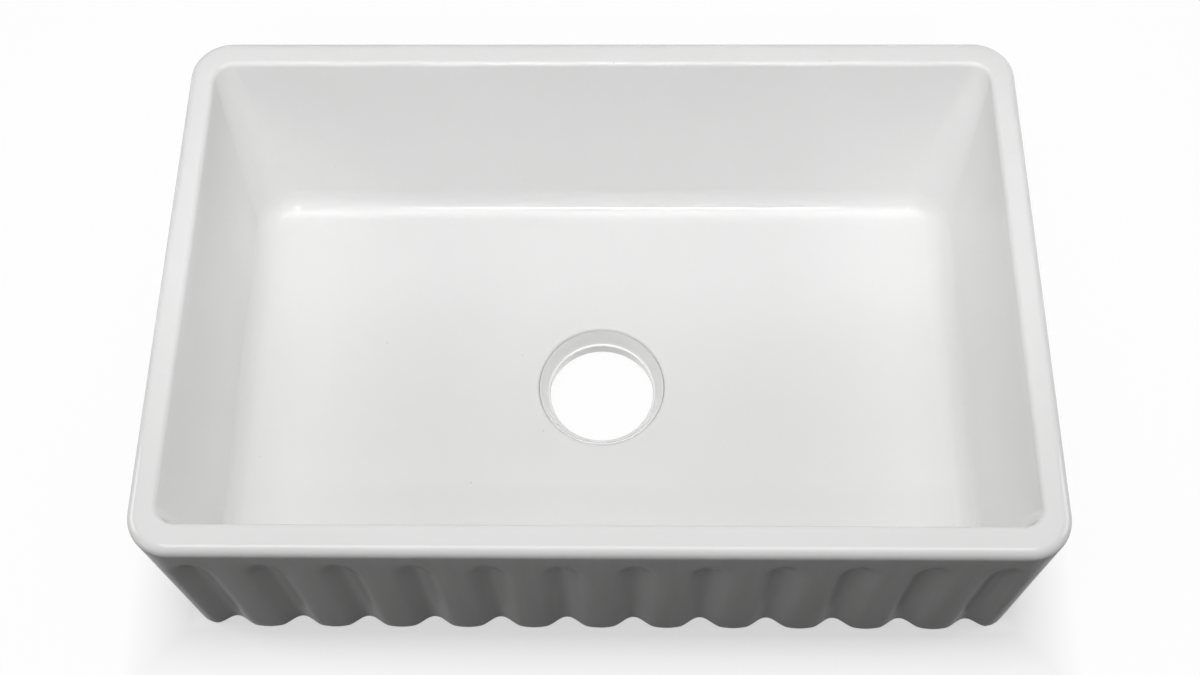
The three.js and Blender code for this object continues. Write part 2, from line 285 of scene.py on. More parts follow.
# %% Bowl
SIDE_RIM, END_RIM = 0.0235, 0.0265
MOUTH_EDGE, MOUTH_CORNER = 0.004, 0.017
FLOOR_LEVEL, FLOOR_FALL = 0.041, 0.003
SIDE_LEAN, BACK_LEAN, FRONT_LEAN = 0.0125, 0.0385, 0.0095
FLOOR_CORNER, FILLET = 0.040, 0.022
MOUTH_ROWS, WALL_ROWS, FILLET_ROWS = 9, 12, 15


def bowl_rows():
    """Levels from the rim's flat down to the edge of the floor. down is 0 at the rim and 1 at the
    floor, and each wall's place is its place at the rim less its lean times down."""
    roll, fillet = arc(QUARTER, 0, MOUTH_ROWS), arc(QUARTER, 0, FILLET_ROWS)
    wall = np.linspace(TOP - MOUTH_EDGE, FLOOR_LEVEL + FILLET, WALL_ROWS)[1:-1]
    z = np.concatenate([
        TOP - MOUTH_EDGE * (1 - np.sin(roll)), wall, FLOOR_LEVEL + FILLET * (1 - np.cos(fillet))])
    inset = np.concatenate([
        -MOUTH_EDGE * (1 - np.cos(roll)), np.zeros(len(wall)), FILLET * (1 - np.sin(fillet))])
    down = (TOP - z) / (TOP - FLOOR_LEVEL)
    return rounded_levels(
        z, HIGH[0] - SIDE_RIM - SIDE_LEAN * down - inset,
        LOW[1] + END_RIM + FRONT_LEAN * down + inset,
        HIGH[1] - END_RIM - BACK_LEAN * down - inset,
        MOUTH_CORNER + (FLOOR_CORNER - MOUTH_CORNER) * down - inset)


bowl = bowl_rows()
print("rows in the bowl:", len(bowl))

# %% [markdown]
# ## Floor and outlet
#
# The floor falls a little to a level landing round the outlet, so that the bowl drains, then a soft
# lip drops to the ledge that carries the outlet set. A round hole in a rectangular floor could be cut
# with a boolean, which leaves long thin faces. Instead each column runs straight from the floor's edge
# towards the outlet, and from the landing on the levels are circles, down through the hole.

# %% Floor and outlet
OUTLET_MIDDLE = np.array([0, -0.0165])
LANDING, RECESS, LIP = 0.085, 0.0605, 0.003
LANDING_RINGS = (0.076, 0.068)
RECESS_MIDDLE, LEDGE_LEVEL = 0.0265, 0.0185
HOLE, UNDERSIDE = 0.054, 0.013
LIP_ROWS, FLOOR_ROWS = 9, 16


def round_rows(directions, profile):
    """Circles about the outlet: point = outlet + radius * direction, for each (radius, level)."""
    radius, level = np.asarray(profile).T
    rows = np.zeros((len(radius),) + directions.shape[:1] + (3,))
    rows[..., :2] = OUTLET_MIDDLE + radius[:, None, None] * directions[None]
    rows[..., 2] = level[:, None]
    return rows


def blend_rows(first, last, steps):
    """Rows between two given rows: first (1 - t) + last t."""
    t = np.linspace(0, 1, steps)[1:-1, None, None]
    return first * (1 - t) + last * t


from_outlet = bowl[-1, :, :2] - OUTLET_MIDDLE
directions = from_outlet / np.linalg.norm(from_outlet, axis=1, keepdims=True)
landing_level = FLOOR_LEVEL - FLOOR_FALL
lip = arc(QUARTER, 2 * QUARTER, LIP_ROWS)
lip_profile = np.stack([RECESS + LIP + LIP * np.cos(lip), landing_level - LIP + LIP * np.sin(lip)], 1)
outlet = round_rows(directions, np.concatenate([
    [[radius, landing_level] for radius in (LANDING,) + LANDING_RINGS], lip_profile,
    [[RECESS, RECESS_MIDDLE], [RECESS, LEDGE_LEVEL], [HOLE, LEDGE_LEVEL], [HOLE, UNDERSIDE]]]))
floor = blend_rows(bowl[-1], outlet[0], FLOOR_ROWS)
print("rows on the floor and in the outlet:", len(floor) + len(outlet))

# %% [markdown]
# ## Underside and foot
#
# Underneath, a shallow hollow leaves a foot all round, on which the sink stands in the kiln and in the
# cabinet. A flat underside would be easier, but it would rock on a cabinet that isn't quite flat, and
# the outlet's nut would have no room. The last row joins the first one of the outside and closes the
# skin.

# %% Underside, and the whole casting
FOOT_WIDTH, FOOT_CORNER, FOOT_DRAFT = 0.046, 0.024, 0.004
CEILING_ROWS = 8

draft = np.array([FOOT_DRAFT, 0])
hollow = rounded_levels(
    np.array([UNDERSIDE, 0.0]), HIGH[0] - FOOT_WIDTH - draft, LOW[1] + FOOT_WIDTH + draft,
    HIGH[1] - FOOT_WIDTH - draft, FOOT_CORNER)
ceiling = blend_rows(outlet[-1], hollow[0], CEILING_ROWS)

rows = np.concatenate([outside, bowl, floor, outlet, ceiling, hollow])
casting = closed_ring_mesh("glazed_casting", rows)
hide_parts("sink_body")
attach(casting, "root")

# %% [markdown]
# ## Where the glaze ends
#
# The foot and the underside stay bare clay, because glaze would stick to the kiln. The apron is less
# glossy than the bowl. Both could be painted as images, but a number stored with each point does the
# same and needs no picture: how bare the clay is, and how far the point belongs to the satin face of
# the apron, which fades out round the corners and under the roll of the rim.

# %% Masks on the casting
BARE_HEIGHT = 0.0022
FRONT_START, FRONT_FADE = 0.2, 0.6
ROLL_START, ROLL_FADE = 0.0025, 0.0035


def store(piece, name, values):
    """Keeps one number per point of a piece, for its material to read."""
    layer = piece.data.attributes.new(name, "FLOAT", "POINT")
    layer.data.foreach_set("value", np.asarray(values, dtype=np.float32).reshape(-1))


heights = rows[..., 2]
row_number = np.arange(len(rows))[:, None] + np.zeros(rows.shape[1])
on_outside = row_number < len(outside)
under = row_number >= len(rows) - len(hollow) - len(ceiling) - 1
below_edge = on_outside * np.clip(1 - heights / BARE_HEIGHT, 0, 1)
store(casting, "bare_clay", np.maximum(under, np.minimum(1, 2 * below_edge)))
facing_front = np.clip((-np.sin(FACING) - FRONT_START) / FRONT_FADE, 0, 1)
under_roll = np.clip((TOP - ROLL_START - heights) / ROLL_FADE, 0, 1)
store(casting, "apron_face", on_outside * facing_front * under_roll)
print("points of bare clay:", int(under.sum()))

# %% [markdown]
# ## The outlet set
#
# The collar, its seal, the gasket, the washer and the nut are all rings about the outlet, clamped to
# the ledge of the recess. Each could be a Screw modifier on a drawn profile. Swept as a grid instead,
# a radius may also change with the angle, which gives the helical thread that the collar and the nut
# share, the waver of squeezed rubber, and the lugs of the nut.

# %% Rings
AROUND = 288
ANGLE = np.linspace(0, 2 * np.pi, AROUND, endpoint=False)
THREAD_PITCH, THREAD_DEPTH = 0.0025, 0.0009


def ring_points(radius, level):
    """Grid of a ring: x = r cos(a), y = outlet + r sin(a). radius may also change with the angle."""
    radius, level = np.asarray(radius, dtype=float), np.asarray(level, dtype=float)
    radius = radius[:, None] + np.zeros(AROUND) if radius.ndim == 1 else radius
    level = level[:, None] + np.zeros(AROUND)
    x, y = radius * np.cos(ANGLE), OUTLET_MIDDLE[1] + radius * np.sin(ANGLE)
    return np.stack([x, y, level], axis=-1)


def thread_wave(level):
    """A helical triangle wave between 0 and 1: its phase is z / pitch + angle / (2 pi)."""
    phase = (level[:, None] / THREAD_PITCH + ANGLE / (2 * np.pi)) % 1.0
    return 1 - np.abs(2 * phase - 1)


def fit_ring(piece, node):
    """Puts a finished ring in the place of its node of the frame."""
    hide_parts(node)
    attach(piece, "root")
    return piece


print("thread, pitch and depth in metres:", THREAD_PITCH, THREAD_DEPTH)

# %% [markdown]
# ## The collar
#
# The flange of the collar is dished: its top falls from the outer edge to the mouth of the sleeve,
# steeply at first. The bore has a round mouth and widens a little downwards. The thread runs over the
# lower part of the sleeve and fades out towards the ledge. A thread could be a bump in the material,
# but this one is cut into the radius, because its outline shows from the side.

# %% Collar thread
SLEEVE, SLEEVE_END = 0.0532, 0.005
THREAD_TOP, THREAD_FADE, THREAD_ROWS = 0.0128, 0.0012, 56

thread_level = np.linspace(SLEEVE_END, THREAD_TOP, THREAD_ROWS)
thread_fade = np.clip((THREAD_TOP - thread_level) / THREAD_FADE, 0, 1)
thread_fade *= np.clip((thread_level - SLEEVE_END) / THREAD_FADE, 0, 1)
thread_radius = SLEEVE - THREAD_DEPTH * (1 - thread_wave(thread_level)) * thread_fade[:, None]
print("turns of thread on the collar:", round((THREAD_TOP - SLEEVE_END) / THREAD_PITCH, 1))

# %% Collar
BORE, BORE_END, BORE_ROWS = 0.050, 0.0518, 6
FLANGE, FLANGE_UNDER, FLANGE_TOP, FLANGE_MOUTH = 0.0602, 0.0206, 0.035, 0.0215
MOUTH_ROUND, FLANGE_ROUND, FLANGE_CHAMFER = 0.002, 0.0008, 0.0003
EDGE_ROWS, DISH_ROWS = 7, 17

edge = arc(0, QUARTER, EDGE_ROWS)
mouth = arc(QUARTER, 2 * QUARTER, MOUTH_ROWS)[1:]
across = np.linspace(0, 1, DISH_ROWS)[1:]
dish_radius = (FLANGE - FLANGE_ROUND) * (1 - across) + (BORE + MOUTH_ROUND) * across
dish_level = FLANGE_TOP - (FLANGE_TOP - FLANGE_MOUTH) * (across + np.sin(across * QUARTER)) / 2
upper_radius = np.concatenate([
    [SLEEVE, FLANGE - FLANGE_CHAMFER, FLANGE], FLANGE - FLANGE_ROUND * (1 - np.cos(edge)), dish_radius,
    BORE + MOUTH_ROUND * (1 + np.cos(mouth)), np.linspace(BORE, BORE_END, BORE_ROWS)[1:]])
upper_level = np.concatenate([
    [FLANGE_UNDER, FLANGE_UNDER, FLANGE_UNDER + FLANGE_CHAMFER],
    FLANGE_TOP - FLANGE_ROUND * (1 - np.sin(edge)), dish_level,
    FLANGE_MOUTH - MOUTH_ROUND * (1 - np.sin(mouth)),
    np.linspace(FLANGE_MOUTH - MOUTH_ROUND, SLEEVE_END, BORE_ROWS)[1:]])
collar_rows = np.concatenate([
    ring_points(thread_radius, thread_level), ring_points(upper_radius, upper_level)])
collar = fit_ring(
    closed_ring_mesh("outlet_collar_dressed", collar_rows), "outlet_collar")
crest = np.zeros(collar_rows.shape[:2])
crest[:len(thread_level)] = thread_wave(thread_level) * thread_fade[:, None]
store(collar, "thread_crest", crest)

# %% [markdown]
# ## Seal, gasket and washer
#
# Rubber keeps the water in, above and below the ledge, and a fibre washer lets the nut turn without
# dragging the gasket. They could be plain flat rings. Real ones have round edges, and squeezed rubber
# bulges unevenly, so the outsides of the two rubber rings waver a little. Each ring stands off its
# neighbour by the same small gap.

# %% Flat rings
CLEARANCE = 0.0003
RING_EDGE_ROWS = 5
WAVER, WAVES, WAVE_BEATS = 0.00012, 9, 4
clamp_inner = SLEEVE + CLEARANCE
waver = WAVER * np.sin(WAVES * ANGLE) * np.cos(WAVE_BEATS * ANGLE)


def rounded_section(inner, outer, low, high, edge):
    """Radii and levels of a flat ring with round edges, up its outside and down its inside: each
    corner is its centre plus edge times the cosine or sine of a quarter turn."""
    turn = arc(0, QUARTER, RING_EDGE_ROWS)
    corners = [(outer - edge, low + edge, -QUARTER), (outer - edge, high - edge, 0.0),
               (inner + edge, high - edge, QUARTER), (inner + edge, low + edge, 2 * QUARTER)]
    radius = np.concatenate([r + edge * np.cos(start + turn) for r, z, start in corners])
    level = np.concatenate([z + edge * np.sin(start + turn) for r, z, start in corners])
    return radius, level


def flat_ring(name, node, outer, low, thickness, edge, squeezed):
    """A flat ring with round edges; where squeezed is 1, its outer half wavers with the angle."""
    radius, level = rounded_section(clamp_inner, outer - WAVER * squeezed, low, low + thickness, edge)
    is_outer = radius > (clamp_inner + outer) / 2
    wavy = radius[:, None] + squeezed * waver * is_outer[:, None]
    return fit_ring(closed_ring_mesh(name, ring_points(wavy, level)), node)


print("waver of squeezed rubber, up to metres:", round(float(np.abs(waver).max()), 6))

# %% Seal, gasket and washer
SEAL_OUTER, CLAMP_OUTER = 0.0586, 0.063
RUBBER_THICKNESS, WASHER_THICKNESS = 0.0015, 0.001
SEAL_ROUND, GASKET_ROUND, WASHER_ROUND = 0.0006, 0.0005, 0.00015

seal_low = LEDGE_LEVEL + CLEARANCE
gasket_low = UNDERSIDE - CLEARANCE - RUBBER_THICKNESS
washer_low = gasket_low - CLEARANCE - WASHER_THICKNESS
seal = flat_ring("collar_seal_dressed", "collar_seal",
                 SEAL_OUTER, seal_low, RUBBER_THICKNESS, SEAL_ROUND, 1)
gasket = flat_ring("lower_gasket_dressed", "lower_gasket",
                   CLAMP_OUTER, gasket_low, RUBBER_THICKNESS, GASKET_ROUND, 1)
washer = flat_ring("friction_washer_dressed", "friction_washer",
                   CLAMP_OUTER, washer_low, WASHER_THICKNESS, WASHER_ROUND, 0)

# %% [markdown]
# ## The nut
#
# The nut clamps the set to the ledge, and has six lugs to turn it by. The lugs could be separate
# blocks joined to a ring, but a moulding flows from one into the other. So the outer radius is the
# plain one plus a smooth hump for each lug, with fine grip ribs between the lugs, and the bore carries
# the same helix as the collar.

# %% Nut
NUT, LUG, LUG_COUNT, NUT_LOW = 0.0624, 0.0672, 6, 0.0056
LUG_FLAT, LUG_SLOPE = 0.13, 0.12
GRIP_DEPTH, GRIP_RIBS = 0.00018, 96
NUT_ROUND, NUT_CHAMFER = 0.0006, 0.0012
NUT_EDGE_ROWS, NUT_THREAD_ROWS = 6, 40
nut_high = washer_low - CLEARANCE

lug_turn = np.abs((ANGLE * LUG_COUNT / (2 * np.pi) + 0.5) % 1.0 - 0.5) * 2 * np.pi / LUG_COUNT
lug_rise = hump(np.clip((lug_turn - LUG_FLAT) / LUG_SLOPE, 0, 1))
grip = GRIP_DEPTH * (1 - lug_rise) * np.cos(GRIP_RIBS * ANGLE)
nut_outer = NUT + (LUG - NUT) * lug_rise + grip

low_turn, high_turn = arc(-QUARTER, 0, NUT_EDGE_ROWS), arc(0, QUARTER, NUT_EDGE_ROWS)
edge_turn = np.concatenate([low_turn, high_turn])
edge_radius = nut_outer - NUT_ROUND * (1 - np.cos(edge_turn))[:, None]
edge_level = np.concatenate([NUT_LOW + NUT_ROUND * (1 + np.sin(low_turn)),
                             nut_high - NUT_ROUND * (1 - np.sin(high_turn))])
wall_level = np.linspace(nut_high - NUT_ROUND, NUT_LOW + NUT_ROUND, NUT_THREAD_ROWS)
wall_radius = clamp_inner + THREAD_DEPTH * (1 - thread_wave(wall_level))
chamfer = np.full((1, AROUND), clamp_inner + NUT_CHAMFER)
nut_rows = ring_points(
    np.concatenate([edge_radius, chamfer, wall_radius, chamfer]),
    np.concatenate([edge_level, [nut_high], wall_level, [NUT_LOW]]))
nut = fit_ring(closed_ring_mesh("back_nut_dressed", nut_rows), "back_nut")

# %% [markdown]
# ## Node helpers
#
# A material in Blender is a tree of nodes joined by links. It could be built by hand in the shader
# editor. In a script each node takes several lines, so a few small helpers make the common ones, and
# a whole finish then reads like a formula.

# %% A material and its sockets
def new_material(name):
    """A node material, its node tree, and its Principled shader."""
    material = bpy.data.materials.new(name)
    material.use_nodes = True
    tree = material.node_tree
    return material, tree, tree.nodes["Principled BSDF"]


def rgb(red, green, blue):
    """A colour with full alpha, as the sockets of colours take it."""
    return (red, green, blue, 1.0)


def set_input(tree, socket, value):
    """Links a socket to value, or sets it where value is a plain number or colour."""
    if isinstance(value, bpy.types.NodeSocket):
        tree.links.new(value, socket)
    else:
        socket.default_value = value


# %% Plain nodes
def math_node(tree, operation, first, second=0.0, clamp=False):
    """One Math node; each input is a socket or a plain number."""
    node = tree.nodes.new("ShaderNodeMath")
    node.operation = operation
    node.use_clamp = clamp
    set_input(tree, node.inputs[0], first)
    set_input(tree, node.inputs[1], second)
    return node.outputs[0]


def ramp_node(tree, value, spread, to=(0.0, 1.0)):
    """Map Range, held to its ends: value within spread goes to the range given by to."""
    node = tree.nodes.new("ShaderNodeMapRange")
    ends = zip(("From Min", "From Max", "To Min", "To Max"), spread + to)
    for socket, end in ends:
        node.inputs[socket].default_value = end
    tree.links.new(value, node.inputs["Value"])
    return node.outputs["Result"]


def blend_node(tree, factor, first, second):
    """A colour between first and second."""
    node = tree.nodes.new("ShaderNodeMix")
    node.data_type = "RGBA"
    set_input(tree, node.inputs["Factor"], factor)
    set_input(tree, node.inputs[6], first)
    set_input(tree, node.inputs[7], second)
    return node.outputs[2]


def noise_node(tree, vector, scale, detail):
    """Noise about 0.5, with scale features to each unit of vector."""
    node = tree.nodes.new("ShaderNodeTexNoise")
    tree.links.new(vector, node.inputs["Vector"])
    set_input(tree, node.inputs["Scale"], scale)
    set_input(tree, node.inputs["Detail"], detail)
    return node.outputs[0]


# %% What a material reads, and what it puts out
def object_place(tree):
    """The place on the piece, in metres: its Object coordinates."""
    return tree.nodes.new("ShaderNodeTexCoord").outputs["Object"]


def stored(tree, name):
    """The number that store() kept with each point under this name."""
    node = tree.nodes.new("ShaderNodeAttribute")
    node.attribute_name = name
    return node.outputs["Fac"]


def finish_surface(material, shader, colour, roughness, height):
    """Gives a material's shader its colour and roughness, and its normal from a height in metres."""
    tree = material.node_tree
    bump = tree.nodes.new("ShaderNodeBump")
    bump.inputs["Strength"].default_value = 1.0
    bump.inputs["Distance"].default_value = 1.0
    tree.links.new(height, bump.inputs["Height"])
    tree.links.new(bump.outputs["Normal"], shader.inputs["Normal"])
    tree.links.new(colour, shader.inputs["Base Color"])
    tree.links.new(roughness, shader.inputs["Roughness"])
    print(material.name, "has", len(tree.nodes), "nodes")


# %% [markdown]
# ## Stage
#
# The sink stands on a plain pale floor. A white board would throw so much light back that the apron
# loses its shade. So this floor shows white to the camera and in reflections, but throws little light
# back, as if it were far away. Part of its white is a lit surface, and most of it close to the sink,
# so that the soft shadow at the foot stays. The world behind it is made in the same way.

# %% Which rays see the floor, and where it is lit
OPEN_SHARE, FOOT_SHARE, FOOT_BAND = 0.05, 0.60, 0.06


def seen_directly(tree):
    """1 for camera, glossy and transmission rays, and 0 for the light that the floor throws back."""
    path = tree.nodes.new("ShaderNodeLightPath")
    glossy = math_node(tree, "MAXIMUM", path.outputs["Is Camera Ray"], path.outputs["Is Glossy Ray"])
    return math_node(tree, "MAXIMUM", glossy, path.outputs["Is Transmission Ray"])


def lit_share(tree):
    """The share of the floor that is a lit surface: it falls with the distance from the sink's outline,
    which is the larger of |x| - half width and |y| - half depth, from FOOT_SHARE to OPEN_SHARE."""
    place = tree.nodes.new("ShaderNodeSeparateXYZ")
    tree.links.new(object_place(tree), place.inputs[0])
    beside = math_node(tree, "SUBTRACT", math_node(tree, "ABSOLUTE", place.outputs["X"]), float(HIGH[0]))
    ahead = math_node(tree, "SUBTRACT", math_node(tree, "ABSOLUTE", place.outputs["Y"]), float(HIGH[1]))
    distance = math_node(tree, "ABSOLUTE", math_node(tree, "MAXIMUM", beside, ahead))
    return ramp_node(tree, distance, (0.0, FOOT_BAND), (FOOT_SHARE, OPEN_SHARE))


print("lit share of the floor at the sink and in the open:", FOOT_SHARE, OPEN_SHARE)

# %% Plain shaders
def plain_shader(tree, kind, colour):
    """A Diffuse or Emission shader of one colour."""
    node = tree.nodes.new(kind)
    node.inputs["Color"].default_value = colour
    return node.outputs[0]


def shader_between(tree, share, first, second):
    """first where share is 0, and second where it is 1."""
    node = tree.nodes.new("ShaderNodeMixShader")
    for number, value in enumerate((share, first, second)):
        tree.links.new(value, node.inputs[number])
    return node.outputs[0]


# %% Floor
WHITE, BOUNCE_GREY = rgb(1.0, 1.0, 1.0), rgb(0.05, 0.05, 0.05)
STAGE_SIZE, STAGE_DROP = 30.0, 0.0005


def stage_floor():
    """A wide plane just under the sink, white where it is seen and grey in the light it throws back."""
    bpy.ops.mesh.primitive_plane_add(size=STAGE_SIZE, location=(0, 0, -STAGE_DROP))
    plane = bpy.context.object
    plane.name = "stage_floor"
    material, tree = new_material("stage_white")[:2]
    tree.nodes.clear()
    glow = plain_shader(tree, "ShaderNodeEmission", WHITE)
    lit = plain_shader(tree, "ShaderNodeBsdfDiffuse", WHITE)
    dull = plain_shader(tree, "ShaderNodeBsdfDiffuse", BOUNCE_GREY)
    white = shader_between(tree, lit_share(tree), glow, lit)
    shown = shader_between(tree, seen_directly(tree), dull, white)
    tree.links.new(shown, tree.nodes.new("ShaderNodeOutputMaterial").inputs["Surface"])
    plane.data.materials.append(material)
    print("stage floor, metres across:", STAGE_SIZE)


stage_floor()

# %% World
WORLD_LIGHT = 0.02

world = bpy.data.worlds.new("studio")
bpy.context.scene.world = world
world.use_nodes = True
tree = world.node_tree
background = tree.nodes["Background"]
background.inputs["Color"].default_value = WHITE
shown = math_node(tree, "MULTIPLY", seen_directly(tree), 1.0 - WORLD_LIGHT)
tree.links.new(math_node(tree, "ADD", shown, WORLD_LIGHT), background.inputs["Strength"])
print("world light on the sink:", WORLD_LIGHT)

# %% [markdown]
# ## Lamps
#
# The photograph's light comes from above: the rim, the walls and the floor are pale, and the apron
# falls into shade. One big lamp would do that roughly. Several soft ones let each part have its own
# level. A large box stands over the front of the bowl and a weaker one over the back. Two small boxes
# at the sides light the side walls. A thin strip high in front draws the highlights along the back
# wall's foot and the edges of the rim, and a gridded one beside it lights the back wall without
# reaching the apron. A low box at the left grazes the ribs. A last one, low behind the sink and
# hidden from reflections, keeps the back from going dark when the sink is seen from there.

# %% Lamps
RIM_MIDDLE = (0.0, 0.0, TOP)
EVERY_WAY = 180.0
LAMPS = [  # name, place, aim, width and height, watts, spread in degrees
    ("back_overhead_softbox", (0.0, 0.55, 1.75), (0.0, 0.40, 0.0), (2.0, 1.5), 5.4, EVERY_WAY),
    ("front_overhead_softbox", (0.0, -0.40, 1.75), (0.0, -0.10, 0.0), (1.8, 0.7), 14.5, EVERY_WAY),
    ("left_softbox", (-1.7, 0.0, 0.95), RIM_MIDDLE, (0.8, 0.8), 6.9, EVERY_WAY),
    ("right_softbox", (1.7, 0.0, 0.95), RIM_MIDDLE, (0.8, 0.8), 5.5, EVERY_WAY),
    ("front_strip", (0.05, -0.86, 1.4), (0.0, 0.0, 0.1), (1.0, 0.08), 0.9, EVERY_WAY),
    ("gridded_strip", (0.0, -0.86, 1.4), (0.0, 0.20, 0.14), (1.3, 0.08), 0.24, 22.0),
    ("apron_fill", (-2.0, -1.5, 0.6), (0.0, -0.25, 0.1), (0.8, 0.6), 2.4, EVERY_WAY),
    ("back_fill", (0.9, 2.3, 0.3), (0.0, 0.25, 0.12), (1.2, 0.4), 14.0, EVERY_WAY),
]


def softbox(name, place, aim, size, watts, spread_degrees):
    """A soft rectangular lamp at place, whose face is square to the line to aim."""
    data = bpy.data.lights.new(name, "AREA")
    data.shape = "RECTANGLE"
    data.size, data.size_y = size
    data.energy = watts
    data.spread = math.radians(spread_degrees)
    lamp = bpy.data.objects.new(name, data)
    lamp.location = place
    away = Vector(place) - Vector(aim)
    lamp.rotation_euler = away.to_track_quat("Z", "Y").to_euler()
    bpy.context.scene.collection.objects.link(lamp)
    return lamp


lamps = {lamp[0]: softbox(*lamp) for lamp in LAMPS}
lamps["back_fill"].visible_glossy = False
bpy.context.scene.view_settings.view_transform = "Standard"
print("lamps:", len(lamps), "watts in all:", round(sum(lamp.data.energy for lamp in lamps.values()), 1))

# %% [markdown]
# ## Grain, marks and dust
#
# Clay, coating, rubber, fibre and plastic all have a fine grain, and marks that are cloudy or drawn out
# one way. Each material could have its own noise nodes. Because several of them use the same effect,
# each effect is a node group, made once with named sockets and placed in every material with its own
# values. Grain gives a mask and a height of a given depth. Marks give a mask, and their scale is a
# vector, so that unequal scales draw them out into streaks. Dust gives a mask of patches that are
# broken up by the grain.

# %% An empty group
def new_group(name, inputs, outputs):
    """An empty group of shader nodes. inputs gives each socket's starting value, a number or a vector."""
    group = bpy.data.node_groups.new(name, "ShaderNodeTree")
    for socket_name, start in inputs.items():
        kind = "NodeSocketVector" if isinstance(start, tuple) else "NodeSocketFloat"
        socket = group.interface.new_socket(socket_name, in_out="INPUT", socket_type=kind)
        socket.default_value = start
    for socket_name in outputs:
        group.interface.new_socket(socket_name, in_out="OUTPUT", socket_type="NodeSocketFloat")
    print("group", name, "takes", list(inputs), "and gives", list(outputs))
    return group, group.nodes.new("NodeGroupInput").outputs, group.nodes.new("NodeGroupOutput").inputs


# %% Grain
def make_grain_group():
    """Mask is noise about 0.5 at Scale features per metre, and Height is (noise - 0.5) * Depth."""
    group, given, result = new_group(
        "surface_grain", {"Scale": 500.0, "Depth": 0.00001}, ("Mask", "Height"))
    noise = noise_node(group, object_place(group), given["Scale"], 3.0)
    centred = math_node(group, "SUBTRACT", noise, 0.5)
    group.links.new(noise, result["Mask"])
    group.links.new(math_node(group, "MULTIPLY", centred, given["Depth"]), result["Height"])
    return group


GRAIN = make_grain_group()


# %% Marks
def make_marks_group():
    """Mask is noise about 0.5, read at the place times Scale along X, Y and Z."""
    group, given, result = new_group(
        "cloudy_marks", {"Scale": (10.0, 10.0, 10.0), "Detail": 2.0}, ("Mask",))
    stretched = group.nodes.new("ShaderNodeVectorMath")
    stretched.operation = "MULTIPLY"
    group.links.new(object_place(group), stretched.inputs[0])
    group.links.new(given["Scale"], stretched.inputs[1])
    noise = noise_node(group, stretched.outputs[0], 1.0, given["Detail"])
    group.links.new(noise, result["Mask"])
    return group


MARKS = make_marks_group()

# %% Dust
DUST_RANGE = (0.45, 0.75)


def make_dust_group():
    """Mask is Grain times noise at Scale, where that noise goes from 0 to 1 within DUST_RANGE."""
    group, given, result = new_group("settled_dust", {"Scale": 60.0, "Grain": 0.5}, ("Mask",))
    noise = noise_node(group, object_place(group), given["Scale"], 4.0)
    dust = ramp_node(group, noise, DUST_RANGE)
    group.links.new(math_node(group, "MULTIPLY", dust, given["Grain"]), result["Mask"])
    return group


DUST = make_dust_group()

# %% Placing the groups
MOST_NOISE, ALL_NOISE = (0.35, 0.65), (0.3, 0.7)


def place_group(tree, group, **values):
    """A group in a material's tree, with a value or a socket for each of its inputs."""
    node = tree.nodes.new("ShaderNodeGroup")
    node.node_tree = group
    for socket, value in values.items():
        set_input(tree, node.inputs[socket], value)
    return node.outputs


def grain(tree, scale, depth):
    """Mask and height of the shared grain, at a scale per metre and a depth in metres."""
    outputs = place_group(tree, GRAIN, Scale=scale, Depth=depth)
    return outputs["Mask"], outputs["Height"]


def marks(tree, scale, detail=2.0):
    """Mask of the shared marks. scale is features per metre: one number, or one for X, Y and Z."""
    each_way = scale if isinstance(scale, tuple) else (scale, scale, scale)
    return place_group(tree, MARKS, Scale=each_way, Detail=detail)["Mask"]


print("most noise is within:", MOST_NOISE, "and nearly all within:", ALL_NOISE)

# %% [markdown]
# ## Glaze
#
# The glaze is white and glossy. A single white would look like plastic, because fired glaze is never
# even: it lies thicker here and thinner there, ran down the apron in faint streaks before it set, and
# in places a pinhole shows the clay. So its colour is a blend of two whites, driven by cloudy marks
# and by streaks that are drawn out downwards on the apron alone, with rare dark specks over it.

# %% Glaze: the white
GLAZE_WHITE, GLAZE_SHADE = rgb(0.875, 0.875, 0.872), rgb(0.835, 0.835, 0.828)
CLOUDS, CLOUD_SHARE = 6.0, 0.35
STREAKS, STREAK_RANGE = (60.0, 60.0, 5.0), (0.42, 0.66)

glaze, tree, shader = new_material("glaze")
apron = stored(tree, "apron_face")
cloud = marks(tree, CLOUDS)
streak = math_node(tree, "MULTIPLY", ramp_node(tree, marks(tree, STREAKS, 3.0), STREAK_RANGE), apron)
patches = ramp_node(tree, cloud, MOST_NOISE, (0.0, CLOUD_SHARE))
shade = math_node(tree, "ADD", patches, streak, clamp=True)
white_tone = blend_node(tree, shade, GLAZE_WHITE, GLAZE_SHADE)
print("the white goes from", GLAZE_WHITE[:3], "to", GLAZE_SHADE[:3])

# %% Glaze: the pinholes
PINHOLE_BROWN = rgb(0.42, 0.38, 0.33)
PINHOLE_CELLS, PINHOLE_CHANCE = 90.0, 0.035
PINHOLE_EDGE, PINHOLE_TINT, PINHOLE_DEPTH = (0.03, 0.075), 0.55, 0.00012

cells = tree.nodes.new("ShaderNodeTexVoronoi")
cells.inputs["Scale"].default_value = PINHOLE_CELLS
tree.links.new(object_place(tree), cells.inputs["Vector"])
chance = tree.nodes.new("ShaderNodeSeparateColor")
tree.links.new(cells.outputs["Color"], chance.inputs[0])
rare = math_node(tree, "LESS_THAN", chance.outputs[0], PINHOLE_CHANCE)
spot = ramp_node(tree, cells.outputs["Distance"], PINHOLE_EDGE, (1.0, 0.0))
pinhole = math_node(tree, "MULTIPLY", spot, rare)
tint = math_node(tree, "MULTIPLY", pinhole, PINHOLE_TINT)
speckled = blend_node(tree, tint, white_tone, PINHOLE_BROWN)
print("one cell in", round(1 / PINHOLE_CHANCE), "has a pinhole")

# %% [markdown]
# Under the foot the clay is bare, matt and sandy. The glaze doesn't stop there at a ruled line, so the
# stored mask is made ragged with the cloudy marks before it chooses between glaze and clay.

